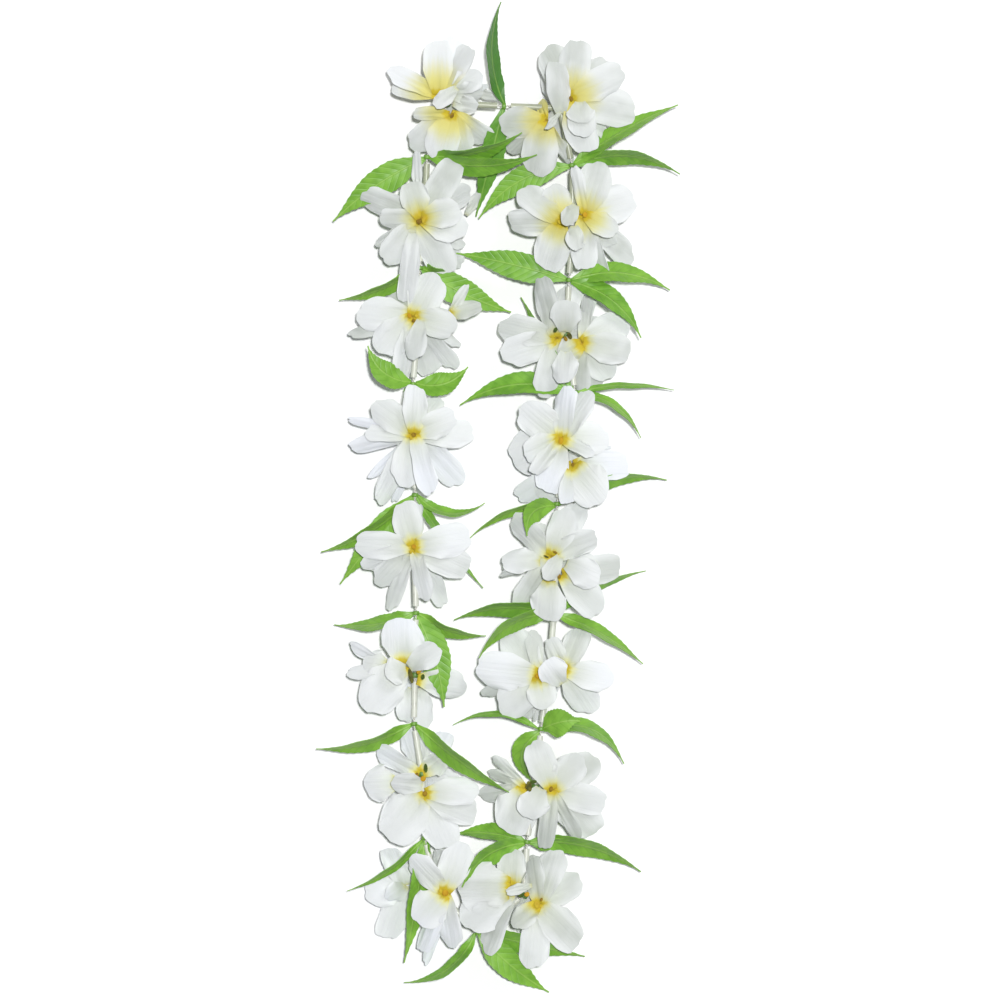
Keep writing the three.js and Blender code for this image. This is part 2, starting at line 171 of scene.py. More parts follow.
thread_finish = Finish("twisted_thread", roughness=0.8, specular_ior_level=0.3)
place = thread_finish.object_place()
x, y, z = thread_finish.split(place)
turns = (x + y + 0.6 * z) * (2 * math.pi / THREAD_TWIST)
ply = thread_finish.node("Math", {"operation": "SINE"}, i0=turns)
ply += thread_finish.noise(place, 900.0)
# Painted shade: the grooves between the plies of the twist are painted darker, and the ridges
# lighter.
ply_ridge_light = thread_finish.ramp(ply, -1.0, 1.4)
thread_finish.colour(thread_finish.mix(ply_ridge_light, (0.5, 0.48, 0.42), (0.86, 0.85, 0.8)))
thread_finish.bump(ply, 0.0002)
put_on(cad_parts["string"], thread_finish)

# The spacer straws: short lengths cut from thin milky drinking-straw tube, one between each two
# neighbours. They slide on the thread and keep the flowers and leaves apart. Those at the top
# are painted darker, as painted shade.
STRAW_RADIUS = 0.0017
STRAW_WALL = 0.0003
STRAW_SIDES = 20
STRAW_STANDOFF = 0.0037  # from the middle of a calyx or collar to the end of a straw
TOP_SHADE_FROM_TO = (0.08, 0.19)  # distance up the lei from its middle
RIM_ANGLE = math.radians(55)  # a cut edge turns more sharply than this
# A straw that is hidden under petals all the way follows each of these
HIDDEN_AFTER = ("leaves_top", "leaves_right_3", "flower_right_7", "flower_right_8", "leaves_bottom")


def alone(piece):
    """Selects one object and nothing else."""
    bpy.ops.object.select_all(action="DESELECT")
    piece.select_set(True)
    bpy.context.view_layer.objects.active = piece


def copy_of(blank, name):
    piece = blank.copy()
    piece.data = blank.data.copy()
    piece.name = name
    piece.data.name = name
    bpy.context.scene.collection.objects.link(piece)
    return piece


def thicken(piece, thickness, offset=0.0):
    alone(piece)
    wall = piece.modifiers.new("wall", "SOLIDIFY")
    wall.thickness = thickness
    wall.offset = offset
    wall.use_even_offset = False
    bpy.ops.object.modifier_apply(modifier=wall.name)
    bpy.ops.object.shade_smooth_by_angle(angle=RIM_ANGLE)


straw_finish = Finish("milky_straw", ior=1.45, specular_ior_level=0.5)
place = straw_finish.object_place()
cloud = straw_finish.noise(place, 260.0, 4.0)
cloudy = straw_finish.ramp(cloud, 0.3, 0.7)
clear = straw_finish.mix(cloudy, (0.57, 0.58, 0.51), (0.65, 0.67, 0.59))
# Painted shade: the straws high up the lei are painted darker and duller than the lower ones.
shaded_straw = straw_finish.mix(cloudy, (0.38, 0.41, 0.3), (0.45, 0.47, 0.35))
top_shade = straw_finish.ramp(straw_finish.split(place)[1], *TOP_SHADE_FROM_TO)
straw_finish.colour(straw_finish.mix(top_shade, clear, shaded_straw))
straw_finish.rough(straw_finish.ramp(cloud, 0.3, 0.7, 0.26, 0.42))
straw_finish.bump(cloud, 0.0001, 0.5)

bpy.ops.object.select_all(action="DESELECT")
bpy.ops.mesh.primitive_cylinder_add(
    vertices=STRAW_SIDES, radius=STRAW_RADIUS, depth=1, end_fill_type="NOTHING", location=(0, 0, 0),
)
straw_blank = bpy.context.object
thicken(straw_blank, STRAW_WALL, -1.0)
straw_number = 0
for i, (name, x, y) in enumerate(STOPS):
    start = at(x, y, STRING_HEIGHT)
    end = at(*STOPS[(i + 1) % len(STOPS)][1:], STRING_HEIGHT)
    hidden = name in HIDDEN_AFTER
    straw_number += 0 if hidden else 1
    label = f"spacer_after_{name}" if hidden else f"spacer_{straw_number:02d}"
    piece = copy_of(straw_blank, label)
    length = (end - start).length - 2 * STRAW_STANDOFF
    turn = (end - start).to_track_quat("Z", "Y").to_matrix().to_4x4()
    piece.data.transform(
        Matrix.Translation((start + end) / 2) @ turn @ Matrix.Diagonal((1, 1, length, 1))
    )
    put_on(piece, straw_finish)
    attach(piece, "root")
    if not hidden:
        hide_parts(f"straw_{straw_number:02d}")
bpy.data.objects.remove(straw_blank)

# The leaf whorls: green polyester, die-cut as one star of saw-edged blades, then pressed hot so
# that the midrib and side veins stand out. The thread goes through a small plastic collar.
LEAF_FULL_WIDTH = 26  # pixels, of a blade that is seen edge on
LEAF_MOST_LEAN = 0.55  # least share of its full width that a blade shows, however it leans
LEAF_START = 0.0015  # from the middle of the collar to the foot of a blade
LEAF_BOW = 0.003
LEAF_THICKNESS = 0.00035
LEAF_FOLD = 0.22  # rise of a blade's halves from the midrib, for their width
LEAF_CURL = (-0.0008, 0.0012)  # least and most that the sides of a blade fall
CURL_AT_TIP = 1.4  # share of it that they fall at the tip
LEAF_RIPPLE = 0.0003
LEAF_RIPPLE_TURN = 19  # radians of ripple in the length of a blade
# The next three are shares of the full width, and the four after them shares of the length
LEAF_BODY = 0.94  # widest part without its teeth
LEAF_TIP = 0.05
LEAF_TOOTH = 0.055
LEAF_WIDENS = (-0.12, 0.34)
LEAF_NARROWS = (0.45, 1.03)
TEETH_BEGIN = (0.05, 0.2)
TEETH_END = (0.85, 1.0)
LEAF_TEETH = 15
LEAF_BREADTH = 8  # faces across
# A blade is (tip x, tip y, width, tip height, sway). Sway is how far its middle bends to the left
# hand of one who looks from the collar to the tip. The height is millimetres, the rest pixels.
# A last value below 0 darkens the blade.
LEAVES = {
    "leaves_top": [(501, 2, 13, 24, 11, -2.2), (476, 216, 24, 5, 0, -1.7)],
    "leaves_left_1": [
        (333, 221, 30, 12, -5), (522, 133, 15, 33, -8, -0.7), (537, 155, 19, 29, -10, -0.7),
    ],
    "leaves_left_2": [(449, 274, 16, 14, -2), (339, 300, 12, 12, 5), (511, 312, 30, 10, -4)],
    "leaves_left_3": [(368, 346, 24, 28, 10), (468, 367, 24, 22, -9), (403, 408, 10, 9, 0)],
    "leaves_left_4": [
        (321, 552, 17, 14, 8), (340, 584, 28, 8, -2), (485, 503, 9, 18, -15), (483, 588, 9, 9, -3),
    ],
    "leaves_left_5": [(334, 625, 14, 10, 6), (486, 636, 12, 16, -6), (444, 707, 34, 17, 5)],
    "leaves_left_6": [(316, 749, 13, 16, 7), (509, 792, 16, 28, -3)],
    "leaves_left_7": [(347, 891, 7, 22, 6), (404, 963, 20, 15, 2), (428, 861, 8, 13, 0)],
    "leaves_bottom": [(404, 983, 11, 12, 14), (549, 993, 28, 5, -4), (585, 957, 20, 8, 0)],
    "leaves_right_1": [
        (479, 218, 27, 11, -12, -0.5), (678, 105, 17, 20, 4, -0.3), (680, 174, 15, 16, 14, -0.5),
    ],
    "leaves_right_2": [
        (456, 253, 29, 11, -2, -0.3), (670, 290, 20, 12, 12, -0.3), (641, 338, 20, 22, 11, -0.3),
    ],
    "leaves_right_3": [
        (460, 405, 22, 12, -14), (521, 297, 12, 7, 0), (674, 390, 6, 14, 5.5),
        (641, 438, 8, 14, 11),
    ],
    "leaves_right_4": [(470, 538, 8, 18, -10), (527, 536, 21, 30, -12), (667, 480, 14, 8, 13)],
    "leaves_right_5": [
        (454, 620, 15, 14, -9), (479, 658, 15, 26, -13), (643, 664, 12, 14, 5), (646, 571, 9, 3, 6),
    ],
    "leaves_right_6": [
        (453, 725, 6, 18, -13), (624, 764, 14, 14, 19), (580, 721, 29, 27, 3),
        (533, 783, 18, 7, -15),
    ],
    "leaves_right_7": [
        (453, 835, 17, 11, -5), (462, 887, 20, 28, -12), (641, 872, 18, 12, 11),
        (602, 845, 14, 7, 0),
    ],
}
SHEET_LIFT = 0.0004  # lowest that a sheet's middle surface comes above the table
CURVE_STEPS = 16  # straight steps that a curve's length is measured in
UPRIGHT = 1e-4  # a heading with a level part shorter than this is taken as upright
ONE_LINE = 0.001  # vertices of a blank that are in one row or column differ by less than this


def smooth(value, low, ply_ridge_light):
    """0 below low, 1 above high, and a smooth step between. With along, low and high are shares
    of the length of a petal or leaf."""
    part = min(max((value - low) / (ply_ridge_light - low), 0), 1)
    return part * part * (3 - 2 * part)


def bezier(points, part):
    """Point and heading on a curve of four control points."""
    a, b, c, d = points
    rest = 1 - part
    place = a * rest**3 + b * 3 * rest**2 * part + c * 3 * rest * part**2 + d * part**3
    heading = (b - a) * rest**2 + (c - b) * 2 * rest * part + (d - c) * part**2
    return place, heading.normalized()


def lay_sheet(blank, name, curve, width, roll, lift, tint, along_shift=None, mark=0):
    """A copy of a flat blank, bent along a curve. Its length runs along the curve, its width is
    set across it, roll turns it about the curve, and lift raises it off its own flat. Its
    material reads two attributes: lay holds the millimetres along and across and the tint, and
    dye holds how much further the pale dye reaches. A mark above 0 is a length of dye that is
    missing, and a mark below 0 is added to dye."""
    piece = copy_of(blank, name)
    mesh = piece.data
    mesh.attributes.new("lay", "FLOAT_VECTOR", "POINT")
    mesh.attributes.new("dye", "FLOAT", "POINT")
    marks = mesh.attributes["lay"]
    dye = mesh.attributes["dye"]
    places = [bezier(curve, i / CURVE_STEPS)[0] for i in range(CURVE_STEPS + 1)]
    length = sum((after - before).length for before, after in zip(places, places[1:]))
    for vertex in mesh.vertices:
        flat = vertex.co.copy()
        along = flat.x if along_shift is None else along_shift(flat.x, flat.y)
        place, heading = bezier(curve, min(max(along, 0), 1))
        level = Vector((heading.x, heading.y, 0))
        if level.length < UPRIGHT:
            level = curve[3] - curve[0]
        across = Vector((0, 0, 1)).cross(level).normalized()
        up = heading.cross(across)
        angle = roll(flat.x)
        turned = across * math.cos(angle) + up * math.sin(angle)
        face = up * math.cos(angle) - across * math.sin(angle)
        aside = flat.y * width / 2
        point = place + turned * aside + face * lift(flat.x, flat.y)
        point.z = max(point.z, SHEET_LIFT)
        vertex.co = point
        marks.data[vertex.index].vector = (
            max(mark, 0) + along * length * 1000, aside * 1000, tint,
        )
        dye.data[vertex.index].value = max(-mark, 0)
    return piece


def join_pieces(pieces, name):
    alone(pieces[0])
    for piece in pieces:
        piece.select_set(True)
    if len(pieces) > 1:
        bpy.ops.object.join()
    pieces[0].name = name
    pieces[0].data.name = name
    return pieces[0]


def lines(blank, axis):
    return sorted({round(vertex.co[axis], 4) for vertex in blank.data.vertices})


def edit_line(blank, axis, line):
    """Goes into edit mode with only one row or column of a blank's vertices selected."""
    bpy.ops.object.mode_set(mode="EDIT")
    bpy.ops.mesh.select_all(action="DESELECT")
    bpy.ops.object.mode_set(mode="OBJECT")
    for vertex in blank.data.vertices:
        vertex.select = abs(vertex.co[axis] - line) < ONE_LINE
    bpy.ops.object.mode_set(mode="EDIT")


def shape_blank(name, steps, breadth, outline):
    """A flat blank from x 0 to 1 and y -1 to 1, finer near its sides, and drawn in across to an
    outline."""
    bpy.ops.object.select_all(action="DESELECT")
    bpy.ops.mesh.primitive_grid_add(
        x_subdivisions=steps, y_subdivisions=breadth, size=1, location=(0, 0, 0),
    )
    blank = bpy.context.object
    blank.name = name
    bpy.ops.object.mode_set(mode="EDIT")
    bpy.ops.mesh.select_all(action="SELECT")
    bpy.ops.transform.resize(value=(1, 2, 1))
    bpy.ops.transform.translate(value=(0.5, 0, 0))
    bpy.ops.object.mode_set(mode="OBJECT")
    for column in lines(blank, 1):
        edit_line(blank, 1, column)
        bpy.ops.transform.translate(value=(0, math.sin(column * math.pi / 2) - column, 0))
        bpy.ops.object.mode_set(mode="OBJECT")
    for number, row in enumerate(lines(blank, 0)):
        edit_line(blank, 0, row)
        bpy.ops.transform.resize(value=(1, outline(row, number), 1))
        bpy.ops.object.mode_set(mode="OBJECT")
    return blank


def leaf_outline(along, row):
    body = min(smooth(along, *LEAF_WIDENS), 1 - smooth(along, *LEAF_NARROWS)) * LEAF_BODY
    tooth = LEAF_TOOTH if row % 2 else 0.0
    tooth *= smooth(along, *TEETH_BEGIN)
    return max(body, LEAF_TIP) + tooth * (1 - smooth(along, *TEETH_END))


leaf_finish = Finish("pressed_leaf", specular_ior_level=0.45, sheen_weight=0.08)
lay = leaf_finish.node("Attribute", {"attribute_name": "lay"}, output=1)
along, across, tint = leaf_finish.split(lay)
side = leaf_finish.size_of(across)
place = leaf_finish.object_place()
mottle = leaf_finish.noise(place, 160.0, 4.0)
fibre = leaf_finish.noise(place, 1400.0, 2.0)
vein_place = along * 0.2 - side * 0.24 + 0.12 * mottle
vein_wave = leaf_finish.node("Math", {"operation": "PINGPONG"}, i0=vein_place, i1=0.5)
vein = leaf_finish.ramp(vein_wave, 0.0, 0.13, 1.0, 0.0)
midrib = leaf_finish.ramp(side, 0.15, 0.65, 1.0, 0.0)
patches = leaf_finish.ramp(mottle, 0.3, 0.72)
green = leaf_finish.mix(patches, (0.13, 0.33, 0.025), (0.2, 0.44, 0.04))
green = leaf_finish.mix(leaf_finish.ramp(tint, 0.0, 1.0, 0.0, 0.35), green, (0.27, 0.5, 0.06))
green = leaf_finish.mix(leaf_finish.ramp(tint, -2.0, 0.0, 1.0, 0.0), green, (0.03, 0.15, 0.02))
green = leaf_finish.mix(vein * 0.18, green, (0.08, 0.24, 0.025))
green = leaf_finish.mix(midrib * 0.4, green, (0.36, 0.58, 0.12))
leaf_finish.colour(green)
leaf_finish.rough(leaf_finish.ramp(mottle, 0.25, 0.75, 0.38, 0.55))
leaf_finish.bump(midrib * 0.8 - vein * 0.3 + fibre * 0.1 + vein_wave * 0.5, 0.0003, 0.8)

chance = random.Random(5)
leaf_blank = shape_blank("leaf_blank", LEAF_TEETH * 2, LEAF_BREADTH, leaf_outline)
for whorl, hub_x, hub_y in STOPS:
    if whorl not in LEAVES:
        continue
    hub = at(hub_x, hub_y, STRING_HEIGHT)
    blades = []
    for tip_x, tip_y, width, height, sway, *shade in LEAVES[whorl]:
        tip = at(tip_x, tip_y, height)
        outward = (tip - hub).normalized()
        left = Vector((0, 0, 1)).cross(outward).normalized()
        bend = left * (2 * sway * PIXEL) + Vector((0, 0, 2 * LEAF_BOW))
        start = hub + outward * LEAF_START
        middle = start.lerp(tip, 0.5) + bend
        curve = (start, start.lerp(middle, 2 / 3), tip.lerp(middle, 2 / 3), tip)
        full = max(width, min(LEAF_FULL_WIDTH, width / LEAF_MOST_LEAN))
        lean = math.acos(min(width / full, 1)) * chance.choice((-1, 1))
        curl = chance.uniform(*LEAF_CURL)
        half = full * PIXEL / 2

        def lift(along, y, half=half, curl=curl):
            fold = LEAF_FOLD * abs(y) * half * smooth(along, 0, 0.2)
            ripple = LEAF_RIPPLE * math.sin(along * LEAF_RIPPLE_TURN) * abs(y)
            return fold - CURL_AT_TIP * curl * y * y * along + ripple

        def roll(along, lean=lean):
            return lean * smooth(along, 0.02, 0.3)

        tint = chance.random() + sum(shade)
        blades.append(
            lay_sheet(leaf_blank, f"{whorl}_blade", curve, full * PIXEL, roll, lift, tint)
        )
    piece = join_pieces(blades, f"{whorl}_blades")
    thicken(piece, LEAF_THICKNESS)
    put_on(piece, leaf_finish)
    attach(piece, "root")
    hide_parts(whorl)
bpy.data.objects.remove(leaf_blank)

# The cups: a small injection-moulded green cup behind the blossoms of each cluster, and a lighter
# eyelet in the middle of each leaf whorl. The thread goes through, and they grip the fabric.
CUP_SIDES = 15
CUP_ROUNDING = 0.3  # of its radius
CUP_RADIUS = 0.0024
CUP_LENGTH = 0.003
EYELET_RADIUS = 0.0019
EYELET_LENGTH = 0.0022


def plastic(name, dark, light, matt=0.0):
    """Clouded plastic of two colours, from a satin surface at 0 to a matt one at 1."""
    finish = Finish(name, specular_ior_level=0.5 - 0.3 * matt)
    cloud = finish.noise(finish.object_place(), 420.0, 3.0)
    finish.colour(finish.mix(finish.ramp(cloud, 0.3, 0.7), dark, light))
    finish.rough(finish.ramp(cloud, 0.3, 0.7, 0.35 + 0.35 * matt, 0.5 + 0.35 * matt))
    finish.bump(cloud, 0.00015, 0.6)
    return finish


def cup_blank(radius, length):
    bpy.ops.object.select_all(action="DESELECT")
    bpy.ops.mesh.primitive_cylinder_add(
        vertices=CUP_SIDES, radius=radius, depth=length, end_fill_type="TRIFAN", location=(0, 0, 0),
    )
    blank = bpy.context.object
    rim = blank.modifiers.new("rim", "BEVEL")
    rim.width = CUP_ROUNDING * radius
    rim.segments = 3
    bpy.ops.object.modifier_apply(modifier=rim.name)
    bpy.ops.object.shade_smooth()
    return blank


blanks = {
    "flower": cup_blank(CUP_RADIUS, CUP_LENGTH),
    "leaves": cup_blank(EYELET_RADIUS, EYELET_LENGTH),
}
cup_finishes = {
    "flower": plastic("green_cup", (0.05, 0.13, 0.02), (0.11, 0.24, 0.035)),
    "leaves": plastic("leaf_eyelet", (0.12, 0.28, 0.03), (0.18, 0.38, 0.05)),
}
for i, (name, x, y) in enumerate(STOPS):
    kind = name.split("_")[0]
    before = at(*STOPS[i - 1][1:], 0)
    after = at(*STOPS[(i + 1) % len(STOPS)][1:], 0)
    piece = copy_of(blanks[kind], f"{name}_cup")
    turn = (after - before).to_track_quat("Z", "Y").to_matrix().to_4x4()
    piece.data.transform(Matrix.Translation(at(x, y, STRING_HEIGHT)) @ turn)
    put_on(piece, cup_finishes[kind])
    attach(piece, "root")
for blank in blanks.values():
    bpy.data.objects.remove(blank)

# The blossoms: white polyester, die-cut as stars of rounded petals, dyed yellow to orange at the
# middle and pressed hot over a form, so that the petals rise out of a narrow throat and arch
# over. One cup holds up to four of them, and one more that hangs down and rests on the table.
PETAL_THICKNESS = 0.0003
PETAL_FACES = (18, 14)  # along and across
PETAL_FULL_WIDTH = 27  # pixels, of a petal that is seen edge on
MOST_LEAN = 0.84  # least share of its full width that a petal shows, however much it leans
PETAL_SPARE = 1.07  # width of the flat petal for the width that shows once it is arched
PETAL_FOOT = 0.36  # width of its foot for its full width
PETAL_TWIST = 0.15  # most, to either side
PETAL_DROOP = (-0.02, 0.26)  # fall of the sides near the tip, for half the width
PETAL_CUP = 0.5  # rise of the sides near the throat, for half the width
PETAL_CREASE = 0.0005  # depth of the crease along its middle
CREASE_WIDTH = 0.14  # for half the width
PETAL_FOLD = (0.0002, 0.00055)
PETAL_RIPPLE = (0.0006, 0.0014)
ROUND_PART = 0.85  # length of a petal's rounded end, for half its width
ROUND_LIMITS = (0.2, 0.45)  # of the petal's length
TIP_ROUND = 0.96  # 1 would be a half circle
TIP_SKEW = 0.06  # of the petal's length
TIP_UNEVEN = (0.018, 0.012)  # the same, of a long and a short wave
PETAL_BOW = 0.0042
BOW_PLACE = 0.55  # how far along it a petal bows
THROAT_DEPTH = 0.0026
OUTER_DEPTH = 0.0015  # the same of a petal that starts outside the throat
OUTER_MARK = 9  # millimetres of dye missing on such a petal
FOOT_REACH = 0.0002  # from the middle of the throat to a petal's foot
RIM_REACH = 0.0028  # from there to the rim that it goes over
RIM_RISE = 0.0014
STEP_DOWN = 0.0006  # how much lower each petal starts than the one above it
BOW_STEP = 0.0003  # how much less it bows
UNDER_COUNT = 5
UNDER_REACH = 0.72  # for the reach of the petals above
UNDER_START = 0.004  # below the thread
UNDER_MIDDLE = 0.006  # above the table
UNDER_TIP = 0.0008  # above the table
UNDER_WIDTH = 0.85  # for the width of the petals above
UNDER_CUP = 0.3
UNDER_ROUND = 0.4
UNDER_MARK = 12
# How much lighter each cluster's petals are painted than the others, as painted light and shade
CLUSTER_LIGHT_AND_SHADE = {
    "flower_left_1": -0.25, "flower_left_2": -0.75, "flower_left_3": -0.45, "flower_left_4": 0.15,
    "flower_left_5": -0.15, "flower_left_6": 0.15, "flower_left_7": 0.0, "flower_left_8": 0.2,
    "flower_right_1": -0.9, "flower_right_2": -0.55, "flower_right_3": -0.6, "flower_right_4": 0.35,
    "flower_right_5": -0.6, "flower_right_6": -0.2, "flower_right_7": -0.7, "flower_right_8": -0.9,
}
# A blossom is (middle of its throat, petals). The throat adds how many millimetres of its yellow
# are missing, or below 0, how much further the pale yellow reaches. A petal is (tip x, tip y,
# width, tip height), and one that doesn't start in the throat adds (base x, base y, base
# height). Heights are millimetres, the rest pixels.
BLOSSOMS = {
    "flower_left_1": [
        ((438, 95, 28, -13), [
            (388, 69, 19, 20), (392, 85, 17, 17), (438, 40, 28, 24), (456, 38, 26, 18),
            (471, 47, 22, 22), (480, 72, 25, 29, (454, 90, 28)), (483, 93, 22, 26, (453, 96, 27)),
            (478, 107, 16, 25, (453, 103, 26)), (488, 86, 12, 18),
            (434, 107, 14, 36, (457, 88, 30)),
        ]),
        ((450, 114, 27, -11), [
            (413, 114, 12, 27), (412, 149, 26, 17), (437, 160, 32, 21), (462, 158, 30, 19),
            (489, 143, 24, 15),
            (505, 99, 10, 13, (470, 90, 17)),
        ]),
    ],
    "flower_left_2": [
        ((421, 219, 29, -4), [
            (410, 182, 27, 29), (361, 195, 24, 19), (380, 221, 20, 24), (375, 245, 12, 17),
            (384, 262, 26, 20), (461, 209, 28, 33), (467, 232, 30, 26), (447, 274, 30, 21),
            (459, 268, 18, 6), (464, 248, 12, 13), (457, 160, 27, 25), (471, 189, 22, 19),
            (406, 303, 18, 26, (413, 232, 27)), (480, 193, 9, 14, (466, 215, 20)),
            (416, 151, 9, 26, (418, 195, 28)),
        ]),
    ],
    "flower_left_3": [
        ((413, 317, 28), [
            (357, 312, 33, 22), (390, 290, 16, 12), (437, 274, 34, 25), (457, 328, 28, 28),
            (379, 353, 34, 23), (401, 379, 20, 20), (348, 335, 12, 16), (432, 374, 30, 10),
            (455, 369, 16, 12), (461, 345, 9, 12), (412, 360, 18, 33, (421, 320, 30)),
        ]),
        ((449, 315, 20, 2), [
            (469, 284, 9, 19), (481, 304, 18, 20),
        ]),
    ],
    "flower_left_4": [
        ((414, 434, 28), [
            (418, 386, 25, 28), (374, 403, 28, 25), (440, 397, 17, 14), (456, 417, 26, 27),
            (366, 430, 18, 22), (348, 419, 8, 17), (350, 448, 15, 16), (370, 479, 9, 14),
            (377, 504, 18, 15), (403, 487, 30, 25), (393, 502, 12, 9), (432, 494, 20, 28),
            (474, 433, 26, 17), (462, 484, 25, 12),
        ]),
    ],
    "flower_left_5": [
        ((414, 546, 28), [
            (355, 545, 27, 24), (402, 502, 28, 25), (421, 504, 13, 21), (471, 537, 32, 26),
            (469, 570, 30, 24), (427, 601, 17, 22), (445, 605, 18, 9), (362, 567, 20, 20),
            (377, 585, 22, 17), (388, 610, 14, 14),
        ]),
    ],
    "flower_left_6": [
        ((404, 664, 28), [
            (401, 617, 40, 27), (364, 709, 41, 22), (385, 672, 25, 32, (406, 669, 29)),
            (439, 646, 22, 36, (409, 667, 29)),
        ]),
        ((388, 666, 24, 5.5), [
            (350, 645, 11, 18), (347, 674, 12, 19), (363, 661, 27, 21),
        ]),
        ((417, 679, 25), [
            (407, 722, 24, 13, (413, 688, 15)), (426, 729, 22, 13, (419, 688, 15)),
            (467, 687, 28, 7),
        ]),
    ],
    "flower_left_7": [
        ((425, 793, 28), [
            (479, 789, 26, 25), (477, 815, 30, 23), (448, 848, 34, 22), (386, 838, 45, 23),
            (391, 782, 22, 33, (423, 785, 29)),
        ]),
        ((420, 774, 24), [
            (376, 750, 18, 15), (405, 729, 18, 11, (418, 765, 14)),
            (427, 733, 18, 10, (423, 765, 14)), (446, 732, 24, 7, (426, 765, 14)),
            (445, 757, 20, 14),
        ]),
        ((396, 783, 24, 5.5), [
            (364, 784, 36, 20),
        ]),
    ],
    "flower_left_8": [
        ((445, 892, 28), [
            (411, 856, 22, 26), (463, 842, 30, 27), (416, 922, 36, 24), (432, 935, 18, 12),
            (421, 952, 18, 18), (425, 966, 12, 12), (453, 948, 20, 20), (436, 849, 14, 12),
        ]),
        ((406, 886, 12, 8), [
            (388, 848, 22, 11), (365, 896, 30, 10), (387, 900, 20, 14), (386, 939, 28, 7),
        ]),
    ],
    "flower_right_1": [
        ((571, 98, 28, -12), [
            (547, 46, 32, 22), (577, 40, 30, 24), (605, 58, 24, 14), (624, 72, 30, 26),
            (636, 112, 36, 24), (586, 153, 30, 26), (615, 145, 10, 16),
            (581, 124, 27, 36, (580, 102, 31)), (583, 138, 27, 33, (580, 104, 30)),
            (557, 62, 22, 32, (561, 114, 28)),
        ]),
        ((546, 121, 26, -10), [
            (499, 124, 30, 21), (510, 153, 22, 14), (535, 176, 34, 22), (573, 167, 10, 15),
            (540, 101, 10, 18), (545, 130, 6, 36, (561, 112, 31)),
        ]),
    ],
    "flower_right_2": [
        ((561, 222, 26, -8), [
            (521, 188, 26, 24), (553, 184, 28, 22), (509, 223, 26, 22), (545, 270, 34, 24),
            (565, 226, 16, 36, (576, 205, 30)), (577, 251, 18, 36, (574, 226, 30)),
        ]),
        ((584, 215, 26, -8), [
            (601, 162, 32, 24), (635, 198, 36, 23), (618, 232, 20, 28), (612, 246, 18, 21),
            (634, 260, 24, 10), (584, 270, 26, 24), (606, 275, 12, 16), (575, 166, 11, 28),
        ]),
    ],
    "flower_right_3": [
        ((556, 338, 26), [
            (499, 325, 28, 22), (502, 357, 30, 22), (540, 277, 22, 24), (545, 398, 26, 22),
            (573, 281, 26, 15), (567, 300, 30, 35, (565, 332, 28)),
            (563, 384, 24, 33, (566, 350, 28)),
        ]),
        ((582, 343, 25), [
            (628, 320, 30, 17), (631, 352, 30, 22), (612, 378, 28, 15), (580, 394, 16, 17),
            (601, 385, 20, 8), (590, 289, 14, 11), (561, 358, 24, 24),
        ]),
    ],
    "flower_right_4": [
        ((561, 439, 28), [
            (521, 406, 34, 24), (566, 386, 20, 26), (591, 391, 22, 25), (609, 437, 32, 24),
            (594, 454, 14, 29), (524, 455, 25, 27), (533, 474, 14, 30), (511, 459, 44, 12),
            (545, 492, 30, 22),
        ]),
        ((573, 465, 24), [
            (629, 465, 28, 22), (603, 502, 40, 26), (611, 446, 6, 20), (567, 504, 17, 25),
            (540, 500, 26, 11), (519, 500, 24, 9),
        ]),
    ],
    "flower_right_5": [
        ((551, 556, 25), [
            (512, 517, 24, 20), (538, 524, 28, 15), (570, 509, 27, 26), (583, 502, 22, 16),
            (597, 536, 25, 21), (518, 610, 22, 19),
            (546, 580, 16, 34, (560, 556, 28)),
        ]),
        ((562, 574, 26), [
            (621, 567, 28, 15), (602, 611, 32, 22), (600, 580, 28, 33, (566, 564, 27)),
        ]),
        ((541, 561, 25, 6), [
            (502, 559, 22, 22), (500, 576, 9, 19),
        ]),
        ((549, 581, 27, 5), [
            (547, 621, 34, 26),
        ]),
    ],
    "flower_right_6": [
        ((538, 675, 27), [
            (507, 633, 34, 18), (533, 630, 14, 20), (476, 668, 36, 24), (482, 695, 14, 16),
            (500, 712, 36, 23), (522, 717, 18, 14), (545, 709, 28, 29), (536, 721, 8, 16),
        ]),
        ((564, 670, 24), [
            (549, 638, 16, 25), (583, 627, 22, 18), (614, 680, 28, 22), (593, 713, 28, 10),
            (545, 660, 28, 36, (562, 684, 28)),
        ]),
    ],
    "flower_right_7": [
        ((552, 790, 27), [
            (533, 741, 28, 24), (582, 756, 29, 22), (598, 758, 30, 18), (606, 804, 28, 21),
            (597, 833, 34, 18), (580, 838, 12, 23), (544, 849, 16, 27),
            (527, 818, 30, 30, (541, 788, 28)),
        ]),
        ((526, 788, 21), [
            (507, 833, 42, 22), (493, 756, 10, 20), (488, 772, 11, 14), (480, 797, 16, 7),
        ]),
    ],
    "flower_right_8": [
        ((511, 887, 25), [
            (512, 848, 26, 22), (533, 855, 13, 14), (458, 890, 50, 26), (465, 927, 40, 25),
            (485, 953, 22, 23),
            (506, 891, 9, 31, (532, 885, 28)),
        ]),
        ((538, 904, 26), [
            (557, 849, 26, 23), (581, 878, 27, 18), (579, 945, 34, 22), (533, 969, 28, 20),
            (512, 925, 22, 29), (531, 858, 18, 24),
        ]),
    ],
}


def petal_outline(along, row):
    return PETAL_FOOT + (1 - PETAL_FOOT) * smooth(along, -0.02, 0.72)


